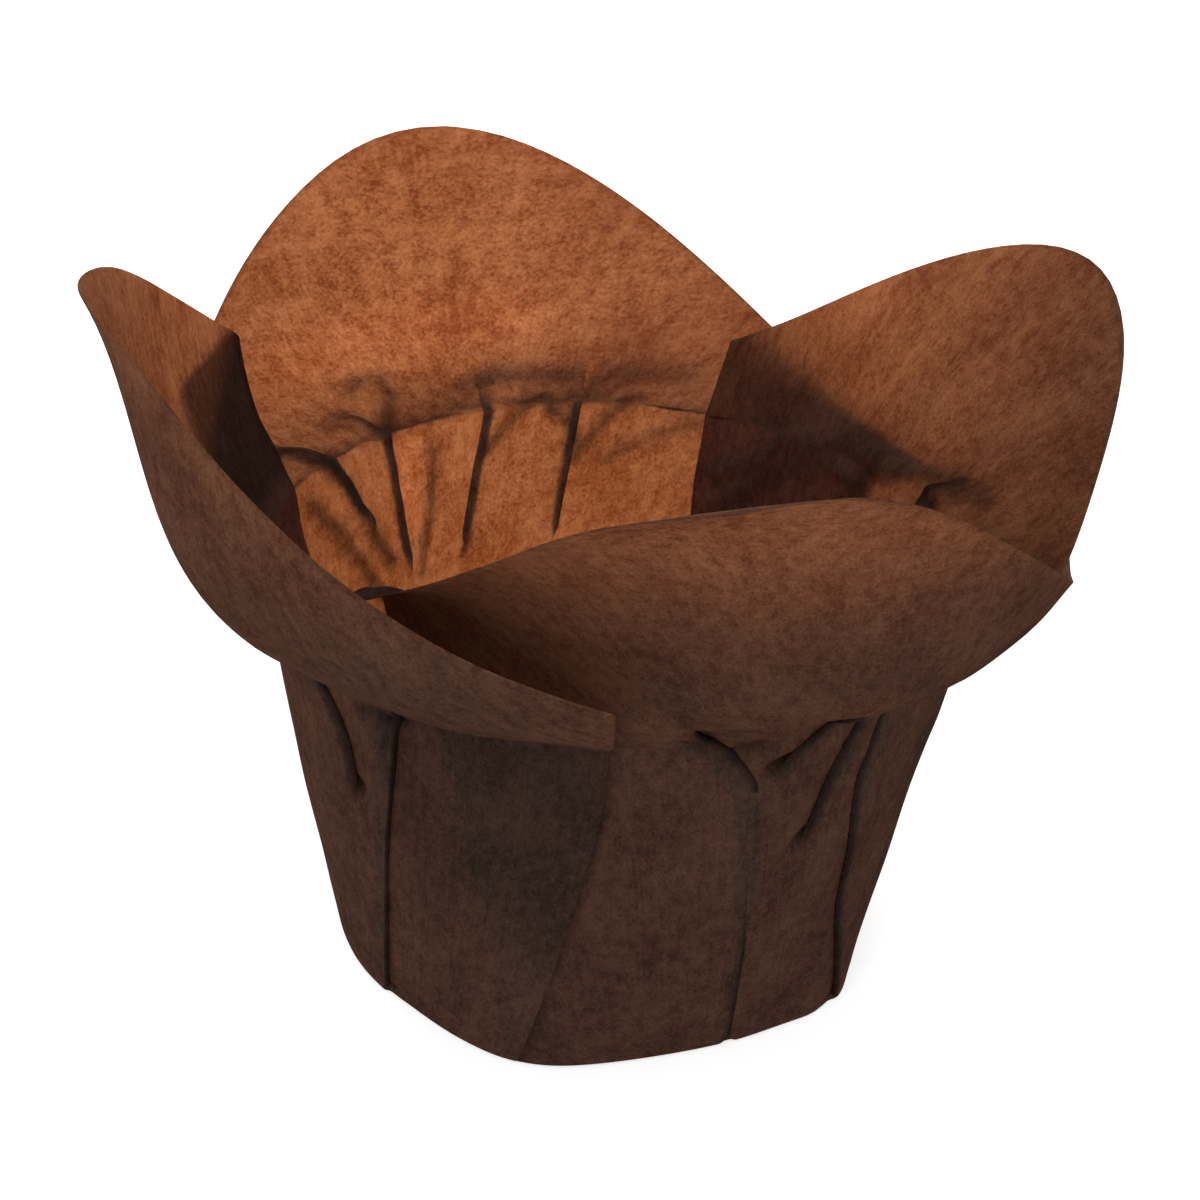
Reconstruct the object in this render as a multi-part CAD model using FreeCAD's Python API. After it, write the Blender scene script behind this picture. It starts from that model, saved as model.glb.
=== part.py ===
import FreeCAD, Part
import math
import os

# Lotus baking cup: one square of greaseproof paper, slit from the middle of each
# side to the base circle. Each quarter is a wall panel with a petal above it. The
# panels overlap at the slits, knife pleats take up the paper between them, and the
# petals flare out above the neck. All lengths are in mm, all angles in degrees.

# Sizes of the folded cup.
CUP = {
    "base_radius": (25.5, "base disc, 2 in across, as the floor of a muffin pan's cavity"),
    "neck_radius": (33.62, "neck crease, where the petals begin"),
    "neck_height": (39.15, "base to neck crease"),
    "thickness": (0.2, "paper, drawn thicker than the real 0.07 so that it meshes"),
    "air": (0.12, "clear gap between two layers that lie on each other"),
    "slit_notch": (0.55, "half width of the notch at the foot of each slit"),
    "foot_turn": (1.6, "height over which a pleat or an overlap opens above the base"),
    "fade_turn": (2.8, "length over which a short pleat opens out on the wall"),
    "flare_share": (0.2, "share of the petal's length over which a pleat opens out"),
    "fold_end": (0.5, "depth of a pleat where it opens out"),
    "shortest_petal": (2.5, "least length of paper above the neck"),
    "hook_power": (10, "how late a pleat's line hooks aside below the neck"),
}

# Each petal: azimuth of its middle, the spread of its paper at the neck on both sides,
# the distances of the blank's two cut sides, and the lean of the paper from vertical.
PETALS = {
    "front": dict(
        middle=-84.3, half_low=63.2, half_high=37.0, spread_low=-0.04, spread_high=0.54,
        cut_low=89.9, cut_high=75.8, corner=13.0,
        lean=46.7, lean_tilt=13.7, lean_bow=-24.4, lean_skew=8.2,
        curl=-3.49, curl_tilt=-0.92, curl_bow=3.36, curl_skew=-0.78,
        twist=-3.08, ledge=30.7, ledge_tilt=34.1, roll=9.0, roll_tilt=1.9, roll_bow=3.2,
        foot_low=-135.0, foot_high=-45.0, slit_bow=0.0),
    "right": dict(
        middle=4.9, half_low=56.5, half_high=40.6, spread_low=0.18, spread_high=-0.03,
        cut_low=75.2, cut_high=75.8, corner=5.6,
        lean=21.6, lean_tilt=-32.6, lean_bow=-8.8, lean_skew=4.5,
        curl=1.07, curl_tilt=0.71, curl_bow=-0.42, curl_skew=-0.94,
        twist=-3.03, ledge=14.9, ledge_tilt=-11.8, roll=-2.0, roll_tilt=2.7, roll_bow=-0.8,
        foot_low=-45.0, foot_high=45.0, slit_bow=0.0),
    "back": dict(
        middle=81.4, half_low=70.2, half_high=66.5, spread_low=0.32, spread_high=0.28,
        cut_low=69.0, cut_high=75.5, corner=11.2,
        lean=62.5, lean_tilt=30.7, lean_bow=-11.9, lean_skew=1.4,
        curl=-3.67, curl_tilt=-0.51, curl_bow=-2.0, curl_skew=1.07,
        twist=-1.39, ledge=25.5, ledge_tilt=-13.8, roll=8.8, roll_tilt=-4.2, roll_bow=-11.2,
        foot_low=45.0, foot_high=135.0, slit_bow=0.0),
    "left": dict(
        middle=166.1, half_low=35.9, half_high=74.4, spread_low=0.17, spread_high=0.02,
        cut_low=81.0, cut_high=96.5, corner=3.8,
        lean=90.6, lean_tilt=17.6, lean_bow=-8.7, lean_skew=-48.0,
        curl=-5.87, curl_tilt=1.09, curl_bow=4.22, curl_skew=2.87,
        twist=-1.42, ledge=-48.3, ledge_tilt=30.3, roll=11.3, roll_tilt=-7.8, roll_bow=-13.4,
        foot_low=135.0, foot_high=225.0, slit_bow=2.5),
}

# Which sheet lies outside at each slit: 1 outside, -1 inside, low side then high side.
LAYING = {"front": (-1, 1), "right": (-1, -1), "back": (1, 1), "left": (-1, 1)}
BEFORE = {"front": "left", "right": "front", "back": "right", "left": "back"}
AFTER = {"front": "right", "right": "back", "back": "left", "left": "front"}

# Knife pleats: start is the azimuth of the fold's foot, slant how far it drifts from there
# to the neck, hook the extra swing just below the neck, foot the share of the wall's height
# where it ends, rest where its trace meets the base below a short one, depth how much paper
# it hides at the neck. A side of 1 means that the sheet at the lower azimuth lies on top.
PLEATS = {
    "front": [
        dict(start=-92.5, slant=-3.9, hook=-9.1, foot=0.0, depth=3.0, side=1),
        dict(start=-95.5, slant=0.0, hook=15.0, foot=0.84, depth=2.2, side=-1, rest=-84.0),
        dict(start=-83.2, slant=7.6, hook=2.0, foot=0.58, depth=2.2, side=-1, rest=-74.0),
        dict(start=-60.0, slant=-14.0, hook=8.0, foot=0.0, depth=2.8, side=-1),
    ],
    "right": [
        dict(start=-20.0, slant=-4.0, hook=-2.0, foot=0.0, depth=3.0, side=1),
        dict(start=-7.0, slant=2.0, hook=1.0, foot=0.0, depth=3.0, side=-1),
    ],
    "back": [
        dict(start=72.8, slant=-4.8, hook=0.0, foot=0.6, depth=2.6, side=1, rest=74.0),
        dict(start=90.9, slant=-7.2, hook=0.0, foot=0.6, depth=2.6, side=-1, rest=88.0),
        dict(start=102.0, slant=2.0, hook=0.0, foot=0.6, depth=2.6, side=1, rest=101.0),
        dict(start=108.6, slant=10.8, hook=-2.0, foot=0.76, depth=2.4, side=1, rest=113.0),
    ],
    "left": [
        dict(start=160.4, slant=1.6, hook=0.0, foot=0.6, depth=2.8, side=-1, rest=158.0),
        dict(start=191.5, slant=0.0, hook=-14.0, foot=0.6, depth=2.2, side=1, rest=177.0),
        dict(start=189.0, slant=14.5, hook=0.0, foot=0.0, depth=2.8, side=1),
    ],
}

os.makedirs("parts", exist_ok=True)
doc = FreeCAD.newDocument("cupcake_liner")
sheet = doc.addObject("Spreadsheet::Sheet", "sizes")


def put(row, alias, value, note):
    """Writes one named size into the sheet."""
    sheet.set("A%d" % row, alias)
    sheet.set("B%d" % row, str(value))
    sheet.set("C%d" % row, note)
    sheet.setAlias("B%d" % row, alias)
    return row + 1


row = 1
for alias, (value, note) in CUP.items():
    row = put(row, alias, value, note)
for panel, values in PETALS.items():
    for alias, value in values.items():
        row = put(row, panel + "_" + alias, value, panel + " petal")
for panel, pleats in PLEATS.items():
    for number, pleat in enumerate(pleats, 1):
        for alias, value in pleat.items():
            row = put(row, "%s_pleat_%s_%s" % (panel, "abcd"[number - 1], alias), value, "pleat")
doc.recompute()


def size(alias):
    return float(sheet.get(alias))


class Panel:
    """One quarter of the blank: a wall panel with its petal, read from the sheet."""

    def __init__(self, name):
        self.name = name
        for alias in PETALS[name]:
            setattr(self, alias, size(name + "_" + alias))
        self.pleats = []
        for number in range(len(PLEATS[name])):
            stem = "%s_pleat_%s_" % (name, "abcd"[number])
            self.pleats.append({key: size(stem + key) for key in PLEATS[name][number]})
        self.pleats.sort(key=lambda pleat: pleat["start"] + pleat["slant"] + pleat["hook"])
        self.laying = LAYING[name]

    def spread(self, u):
        """Azimuth at the neck, from the middle of the petal, for the paper's ray u."""
        mean = (self.half_low + self.half_high) / 2
        return mean * u + (self.half_high - self.half_low) / 2 * u * u

    def ray(self, azimuth):
        """The paper's ray that reaches the neck at an azimuth."""
        mean = (self.half_low + self.half_high) / 2
        bend = (self.half_high - self.half_low) / 2
        away = azimuth - self.middle
        if abs(bend) < 1e-9:
            return away / mean
        return (-mean + math.sqrt(max(mean * mean + 4 * bend * away, 0.0))) / (2 * bend)

    def reach(self, u):
        """Length of paper above the neck along ray u: the blank's cut sides, corner rounded."""
        angle = math.radians(45 * u)
        low = max(math.cos(math.pi / 4 + angle), 0.02) / self.cut_low
        high = max(math.cos(math.pi / 4 - angle), 0.02) / self.cut_high
        edge = (low ** self.corner + high ** self.corner) ** (-1 / self.corner)
        return max(edge - flat_neck, shortest_petal)

    def slope(self, u, up):
        """Lean of the paper from vertical, outwards, at a length above the neck."""
        start = self.lean + self.lean_tilt * u + self.lean_bow * u * u + self.lean_skew * u ** 3
        rate = self.curl + self.curl_tilt * u + self.curl_bow * u * u + self.curl_skew * u ** 3
        near = (self.ledge + self.ledge_tilt * u) * math.exp(-up / 5)
        far = (self.roll + self.roll_tilt * u + self.roll_bow * u * u) * (up / 10) ** 2
        return start + rate * up + near + far

    def petal(self, u, up):
        """Point of the petal's middle surface on ray u at a length above the neck."""
        radius, height = neck_radius, neck_height
        for number in range(12):
            lean = math.radians(self.slope(u, up * (number + 0.5) / 12))
            radius += math.sin(lean) * up / 12
            height += math.cos(lean) * up / 12
        fan = (self.spread_low + self.spread_high) / 2 + (self.spread_high - self.spread_low) / 2 * u
        azimuth = self.middle + self.spread(u) * (1 + fan * up / 10) + self.twist * up / 10
        angle = math.radians(azimuth)
        return FreeCAD.Vector(radius * math.cos(angle), radius * math.sin(angle), height)

    def edge(self, rise, side):
        """Azimuth of the panel's slit edge at a share of the wall's height."""
        if side < 0:
            foot, neck = self.foot_low + notch, self.middle + self.spread(-1)
        else:
            foot, neck = self.foot_high - notch, self.middle + self.spread(1)
        bow = self.slit_bow * 4 * rise * (1 - rise) if side > 0 else 0.0
        return foot + (neck - foot) * rise + bow


base_radius = size("base_radius")
neck_radius = size("neck_radius")
neck_height = size("neck_height")
thickness = size("thickness")
step_in = thickness + size("air")
shortest_petal = size("shortest_petal")
slant_length = math.hypot(neck_height, neck_radius - base_radius)
flat_neck = base_radius + slant_length
wall_lean = math.degrees(math.atan2(neck_radius - base_radius, neck_height))
notch = math.degrees(size("slit_notch") / base_radius)
panels = {name: Panel(name) for name in PETALS}


def smooth(value):
    value = min(max(value, 0.0), 1.0)
    return value * value * (3 - 2 * value)


def seam_offset(panel, azimuth, rise):
    """How far a sheet lies out or in where it overlaps its neighbour at a slit."""
    shift = 0.0
    for side, other in ((-1, BEFORE), (1, AFTER)):
        turn = {"left": 360.0 if panel.name == "front" and side < 0 else 0.0,
                "front": -360.0 if panel.name == "left" and side > 0 else 0.0}
        neighbour = panels[other[panel.name]]
        limit = neighbour.edge(rise, -side) - turn.get(neighbour.name, 0.0)
        past = (azimuth - limit) * side
        lay = panel.laying[0] if side < 0 else panel.laying[1]
        shift += lay * smooth((past + 8.0) / 6.0) * step_in / 2
    return shift * smooth(rise * slant_length / size("foot_turn"))


def fold(depth, closed, side):
    """Section of a pleat: corners of the sheet's outer face, middle and inner face.

    The sheet goes under itself by one step, back by the depth, and under by one
    step again, so three layers lie on each other when the pleat is closed.
    """
    turns = [0.0, -90.0 * closed, -180.0 * closed, -90.0 * closed, 0.0]
    lengths = [step_in, depth, step_in]
    middle = [(0.0, 0.0)]
    for turn, length in zip(turns[1:4], lengths):
        angle = math.radians(turn)
        last = middle[-1]
        middle.append((last[0] + length * math.cos(angle), last[1] + length * math.sin(angle)))
    shift = middle[-1][0] / 2
    corners = []
    for index, (along, out) in enumerate(middle):
        before, after = turns[index], turns[index + 1]
        angle = math.radians((before + after) / 2)
        mitre = thickness / 2 / math.cos(math.radians((after - before) / 2))
        across = (-math.sin(angle) * mitre, math.cos(angle) * mitre)
        corners.append((along - shift, out, across))
    if side < 0:
        corners = [(-along, out, (-across[0], across[1])) for along, out, across in reversed(corners)]
    return corners


def pleat_line(pleat, rise):
    """Azimuth of a pleat at a share of the wall's height."""
    power = size("hook_power")
    foot = pleat["foot"]
    if rise < foot:
        there = pleat["start"] + pleat["hook"] * foot ** power
        return pleat["rest"] + (there - pleat["rest"]) * rise / foot
    return pleat["start"] + pleat["slant"] * (rise - foot) / (1 - foot) + pleat["hook"] * rise ** power


def pleat_state(pleat, rise, up_share):
    """Depth of a pleat and how far it is closed, on the wall or above the neck."""
    if up_share > 0:
        gone = up_share / size("flare_share")
        depth = size("fold_end") + (pleat["depth"] - size("fold_end")) * (1 - smooth(gone * 1.6))
        return depth, 1 - smooth(gone)
    turn = size("foot_turn") if pleat["foot"] < 0.01 else size("fade_turn")
    above = (rise - pleat["foot"]) / (1 - pleat["foot"])
    depth = size("fold_end") + (pleat["depth"] - size("fold_end")) * max(above, 0.0)
    closed = min(max((rise - pleat["foot"]) * slant_length / turn, 0.0), 1.0)
    return depth, closed


def section(panel, rise, up_share):
    """Corners of one level of a panel, as strips of (outer point, inner point)."""
    on_petal = up_share > 0
    low, high = panel.edge(rise, -1), panel.edge(rise, 1)
    if on_petal:
        low, high = -1.0, 1.0

    def place(across, out, shift=(0.0, 0.0)):
        """A point of the sheet: across is an azimuth on the wall, a ray on the petal."""
        if on_petal:
            up = panel.reach(across) * up_share
            here = panel.petal(across, up)
            wide = panel.petal(across + 0.004, up) - panel.petal(across - 0.004, up)
            tall = panel.petal(across, up + 0.05) - panel.petal(across, max(up - 0.05, 0.0))
            normal = wide.cross(tall)
            normal.normalize()
            return here + normal * out
        angle = math.radians(across)
        if rise == 0.0:
            radius = base_radius if out > 0 else (base_radius + thickness * math.tan(math.radians(wall_lean))
                                                  - thickness / math.cos(math.radians(wall_lean)))
            level = 0.0 if out > 0 else thickness
            return FreeCAD.Vector(radius * math.cos(angle), radius * math.sin(angle), level)
        radius = base_radius + (neck_radius - base_radius) * rise
        height = neck_height * rise
        lean, gain = wall_lean, 1.0
        if rise == 1.0:
            above = panel.slope(panel.ray(across), 0.0)
            lean = (wall_lean + above) / 2
            gain = 1 / math.cos(math.radians((above - wall_lean) / 2))
        radius += out * gain * math.cos(math.radians(lean))
        height -= out * gain * math.sin(math.radians(lean))
        return FreeCAD.Vector(radius * math.cos(angle), radius * math.sin(angle), height)

    def per_mm(across):
        """Change of the cross coordinate for one millimetre along the sheet."""
        if on_petal:
            up = panel.reach(across) * up_share
            wide = panel.petal(across + 0.004, up) - panel.petal(across - 0.004, up)
            return 0.008 / wide.Length
        return math.degrees(1 / (base_radius + (neck_radius - base_radius) * rise))

    def base_out(across):
        if on_petal:
            return seam_offset(panel, panel.middle + panel.spread(across), 1.0)
        return seam_offset(panel, across, rise)

    marks = []
    for pleat in panel.pleats:
        at = panel.ray(pleat_line(pleat, 1.0)) if on_petal else pleat_line(pleat, rise)
        depth, closed = pleat_state(pleat, rise, up_share)
        corners = fold(depth, closed, pleat["side"])
        scale = per_mm(at)
        out = base_out(at) if rise > 0 else 0.0
        line = []
        for along, rest, across in corners:
            high_side = (at + (along + across[0]) * scale, out + rest + across[1])
            low_side = (at + (along - across[0]) * scale, out + rest - across[1])
            line.append((high_side, low_side, at + along * scale, out + rest))
        if up_share >= size("flare_share") - 1e-9:
            half = thickness / 2
            line = [((at, out + half), (at, out - half), at, out)] * 4
        marks.append(line)

    return low, high, marks, place, base_out


def span_points(low, high, first, last, count, place, base_out, rise):
    """Points across a smooth stretch of sheet between two pleats or an edge."""
    half = thickness / 2
    low_out = base_out(low) if first is None else first[3]
    high_out = base_out(high) if last is None else last[3]
    low_rest = low_out - base_out(low)
    high_rest = high_out - base_out(high)
    reach_low = max(abs(high - low) * 0.6, 1e-9)
    points = []
    for index in range(count):
        across = low + (high - low) * index / (count - 1)
        ramp_low = 1 - smooth((across - low) / reach_low)
        ramp_high = 1 - smooth((high - across) / reach_low)
        out = base_out(across) + low_rest * ramp_low + high_rest * ramp_high
        if rise == 0.0:
            out = 0.0
        if index == 0 and first is not None:
            outer, inner = place(*first[0]), place(*first[1])
        elif index == count - 1 and last is not None:
            outer, inner = place(*last[0]), place(*last[1])
        else:
            outer, inner = place(across, out + half), place(across, out - half)
        points.append((outer, inner))
    return points


def level_strips(panel, rise, up_share, counts):
    """All strips of one level, from the low edge to the high edge."""
    low, high, marks, place, base_out = section(panel, rise, up_share)
    strips = []
    first, at = None, low
    for number, line in enumerate(marks):
        strips.append(span_points(at, line[0][2], first, line[0], counts[number], place, base_out, rise))
        corners = [(place(*corner[0]), place(*corner[1])) for corner in line]
        for index in range(3):
            strips.append(corners[index:index + 2])
        first, at = line[-1], line[-1][2]
    strips.append(span_points(at, high, first, None, counts[-1], place, base_out, rise))
    return strips


def knots_for(params, degree):
    """Clamped knots by averaging, as (distinct knots, multiplicities)."""
    inner = []
    for index in range(1, len(params) - degree):
        inner.append(sum(params[index:index + degree]) / degree)
    values = [params[0]] + inner + [params[-1]]
    counts = [degree + 1] + [1] * len(inner) + [degree + 1]
    return values, counts


def weights_for(params, degree):
    """Matrix that turns points at given parameters into the poles of their spline."""
    values, counts = knots_for(params, degree)
    flat = [value for value, count in zip(values, counts) for _ in range(count)]
    total = len(params)

    def basis(index, order, at):
        if order == 0:
            last = at >= flat[-1] and flat[index] < flat[index + 1] and flat[index + 1] >= flat[-1]
            return 1.0 if flat[index] <= at < flat[index + 1] or last else 0.0
        result = 0.0
        span = flat[index + order] - flat[index]
        if span > 0:
            result += (at - flat[index]) / span * basis(index, order - 1, at)
        span = flat[index + order + 1] - flat[index + 1]
        if span > 0:
            result += (flat[index + order + 1] - at) / span * basis(index + 1, order - 1, at)
        return result

    matrix = [[basis(j, degree, params[i]) for j in range(total)] + [1.0 if i == j else 0.0 for j in range(total)]
              for i in range(total)]
    for column in range(total):
        best = max(range(column, total), key=lambda line: abs(matrix[line][column]))
        matrix[column], matrix[best] = matrix[best], matrix[column]
        lead = matrix[column][column]
        matrix[column] = [value / lead for value in matrix[column]]
        for line in range(total):
            if line != column and matrix[line][column]:
                lead = matrix[line][column]
                matrix[line] = [a - lead * b for a, b in zip(matrix[line], matrix[column])]
    return [line[total:] for line in matrix]


def fitted(points, matrix):
    """Poles of the spline through a row of points."""
    if matrix is None:
        return list(points)
    poles = []
    for line in matrix:
        pole = FreeCAD.Vector(0, 0, 0)
        for weight, point in zip(line, points):
            pole += point * weight
        poles.append(pole)
    return poles


def surface(poles, across, up):
    """Face from a grid of poles; across and up are (parameters, degree)."""
    u_values, u_counts = knots_for(*across)
    v_values, v_counts = knots_for(*up)
    patch = Part.BSplineSurface()
    patch.buildFromPolesMultsKnots(poles, u_counts, v_counts, u_values, v_values, False, False,
                                   across[1], up[1])
    return patch.toShape()


def flat_pair(a, b, c, d):
    """Flat triangles that fill a narrow cell between two levels; a cell can end in a point."""
    corners = [(a, b, c), (a, c, d)]
    return [Part.Face(Part.makePolygon([one, two, three, one])) for one, two, three in corners
            if min((one - two).Length, (two - three).Length, (three - one).Length) > 1e-7]


def even(count):
    return [index / (count - 1) for index in range(count)]


cross_rules = {}


def cross_rule(count):
    """Parameters, degree and fitting matrix for a strip with a number of points."""
    if count not in cross_rules:
        degree = 3 if count >= 4 else 1
        cross_rules[count] = (even(count), degree, weights_for(even(count), degree) if degree > 1 else None)
    return cross_rules[count]


faces = []
base_outer = []
base_inner = []
roots = {}
LINE = ([0.0, 1.0], 1)
flare = size("flare_share")
NEAR = [0.0, 0.15 * flare, 0.35 * flare, 0.6 * flare, 0.8 * flare, flare]
FAR = [flare + (1 - flare) * share for share in (0.0, 0.12, 0.28, 0.48, 0.7, 0.88, 1.0)]
far_rule = (FAR, 3, weights_for(FAR, 3))

for name, panel in panels.items():
    foot_rise = size("foot_turn") / slant_length
    fade_rise = size("fade_turn") / slant_length
    fixed = {0.0, foot_rise / 2, foot_rise, 1.0} | {
        pleat["foot"] + part * fade_rise for pleat in panel.pleats if pleat["foot"] >= 0.01
        for part in (0, 0.5, 1)}
    fixed = sorted(rise for rise in fixed if rise <= 1.0)
    extra = [rise for rise in (0.35, 0.6, 0.82, 0.92) if min(abs(rise - other) for other in fixed) > 0.04]
    levels = sorted(fixed + extra)

    stops = [panel.edge(1.0, -1)]
    stops += [pleat_line(pleat, 1.0) for pleat in panel.pleats]
    stops.append(panel.edge(1.0, 1))
    counts = [max(4, int(math.ceil((b - a) / 6.0)) + 1) for a, b in zip(stops, stops[1:])]

    wall = [level_strips(panel, rise, 0.0, counts) for rise in levels]
    wall += [level_strips(panel, 1.0, share, counts) for share in NEAR[1:]]
    petal = [wall[-1]] + [level_strips(panel, 1.0, share, counts) for share in FAR[1:]]

    for number in range(len(wall[0])):
        params, degree, matrix = cross_rule(len(wall[0][number]))
        for face_side in (0, 1):
            rows = [fitted([pair[face_side] for pair in level[number]], matrix) for level in wall]
            for below, above in zip(rows, rows[1:]):
                if degree == 1:
                    faces.extend(flat_pair(below[0], below[1], above[1], above[0]))
                else:
                    faces.append(surface([[a, b] for a, b in zip(below, above)], (params, degree), LINE))
            edge_curve = Part.BSplineCurve()
            values, mults = knots_for(params, degree)
            edge_curve.buildFromPolesMultsKnots(rows[0], mults, values, False, degree)
            (base_outer if face_side == 0 else base_inner).append(edge_curve.toShape())
            if degree > 1:
                rows = [fitted([pair[face_side] for pair in level[number]], matrix) for level in petal]
                poles = [fitted([line[index] for line in rows], far_rule[2]) for index in range(len(params))]
                faces.append(surface(poles, (params, degree), far_rule[:2]))
        if degree > 1:
            tip_outer = fitted([pair[0] for pair in petal[-1][number]], matrix)
            tip_inner = fitted([pair[1] for pair in petal[-1][number]], matrix)
            faces.append(surface([[a, b] for a, b in zip(tip_outer, tip_inner)], (params, degree), LINE))

    for number, index in ((0, 0), (-1, -1)):
        pairs = [level[number][index] for level in wall]
        for below, above in zip(pairs, pairs[1:]):
            faces.extend(flat_pair(below[0], below[1], above[1], above[0]))
        outer = fitted([level[number][index][0] for level in petal], far_rule[2])
        inner = fitted([level[number][index][1] for level in petal], far_rule[2])
        faces.append(surface([[a, b] for a, b in zip(outer, inner)], far_rule[:2], LINE))
        roots[(name, index)] = pairs[0]

for name in panels:
    here, there = roots[(name, -1)], roots[(AFTER[name], 0)]
    for side, edges in ((0, base_outer), (1, base_inner)):
        edges.append(Part.LineSegment(here[side], there[side]).toShape())
    faces.append(surface([[here[0], here[1]], [there[0], there[1]]], LINE, LINE))

for edges in (base_outer, base_inner):
    faces.append(Part.Face(Part.Wire(Part.__sortEdges__(edges))))

skin = Part.makeCompound(faces)
skin.sewShape(1e-5)
shell = skin.Shells[0] if skin.Shells else Part.Shell(skin.Faces)
paper = Part.Solid(shell)
if paper.Volume < 0:
    paper.reverse()

liner = doc.addObject("Part::Feature", "liner")
liner.Label = "liner"
liner.Shape = paper
liner.Placement = FreeCAD.Placement(FreeCAD.Vector(0, 0, 0), FreeCAD.Rotation())
doc.recompute()

for item in doc.Objects:
    if "Invalid" in item.State or "Error" in item.State:
        raise RuntimeError(item.Label + " didn't build")
if liner.Shape.isNull() or not liner.Shape.isValid() or not liner.Shape.Solids:
    raise RuntimeError("liner isn't a valid solid")
liner.Shape.exportStep("parts/liner.step")
print("liner", len(liner.Shape.Faces), "faces", round(liner.Shape.Volume, 1), "mm3",
      "shells", len(skin.Shells), "closed", shell.isClosed())
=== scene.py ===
import math

import bpy
import numpy as np
from mathutils import Matrix, Vector


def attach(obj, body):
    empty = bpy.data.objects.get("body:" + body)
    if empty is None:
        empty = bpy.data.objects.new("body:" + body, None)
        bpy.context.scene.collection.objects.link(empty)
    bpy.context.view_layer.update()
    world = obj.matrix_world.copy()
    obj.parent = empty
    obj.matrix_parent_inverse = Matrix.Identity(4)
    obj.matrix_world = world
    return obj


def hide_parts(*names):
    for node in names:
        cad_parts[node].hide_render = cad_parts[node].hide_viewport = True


# %% [markdown]
# A lotus baking cup: a free-standing muffin liner of brown greaseproof paper. The real one starts
# as a square sheet, about 158 mm wide, with a slit from the middle of each side. A plunger presses
# it into a mould. That gives a flat round base and four wall panels that lie over each other beside
# the slits. The spare width goes into knife pleats, and the sheet's four corners become the petals.
#
# A cloth simulation could press the sheet, but it wouldn't put the pleats where the photograph has
# them. So each panel is a grid of points from formulas, in millimetres, that follow how the sheet
# folds, and the mesh at the end is in metres.

# %% Load the frame
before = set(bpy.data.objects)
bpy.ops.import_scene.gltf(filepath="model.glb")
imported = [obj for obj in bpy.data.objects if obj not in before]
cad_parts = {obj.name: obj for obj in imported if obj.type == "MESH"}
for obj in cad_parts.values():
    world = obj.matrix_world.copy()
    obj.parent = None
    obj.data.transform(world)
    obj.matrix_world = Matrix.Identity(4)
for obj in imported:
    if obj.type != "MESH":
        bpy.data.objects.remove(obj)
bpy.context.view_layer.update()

# %% [markdown]
# The cup's main sizes. They are those of the CAD part, so the dressed cup stands exactly round its
# solid. The paper's own thickness is nearer to the real one than the solid's is.

# %% Sizes of the cup, in mm
BASE_RADIUS = 25.5
NECK_RADIUS = 33.62
NECK_HEIGHT = 39.15
FLARE = NECK_RADIUS - BASE_RADIUS
WALL_LENGTH = math.hypot(NECK_HEIGHT, FLARE)
WALL_LEAN = math.atan2(FLARE, NECK_HEIGHT)
FLAT_NECK = BASE_RADIUS + WALL_LENGTH    # radius of the neck on the flat sheet
PAPER = 0.09             # thickness of the paper
LAYER_STEP = 0.27        # from one layer to the next in a fold or an overlap
print("wall", round(WALL_LENGTH, 2), "mm along the paper; flat neck radius", round(FLAT_NECK, 2), "mm")

# %% [markdown]
# A panel is one quarter of the sheet. Its rays start at the base and run up the wall and the petal:
# ray 0 is the middle one, which ends in the sheet's corner, and rays -1 and 1 are the slits' edges.
# No two petals of a pressed cup are alike, because the paper springs back as it likes, so each has
# its own values. They were found by laying the cup's outline over the photograph's:
#
# - middle, half_low, half_high: azimuths at the neck, in degrees; spread: how rays part in 10 mm.
# - cut_low, cut_high: distances of the sheet's two cut sides; corner: how sharp their meeting is.
# - lean: degrees from the vertical; curl: its change for each mm; twist: sideways, in 10 mm.
# - ledge: extra lean just above the neck; roll: extra lean near the rim.
# - foot_low, foot_high: azimuths of the slits' feet; slit_bow: how far the high edge bows.
# - tilt, bow and skew say how a term changes with the ray, its square and its cube.

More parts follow.
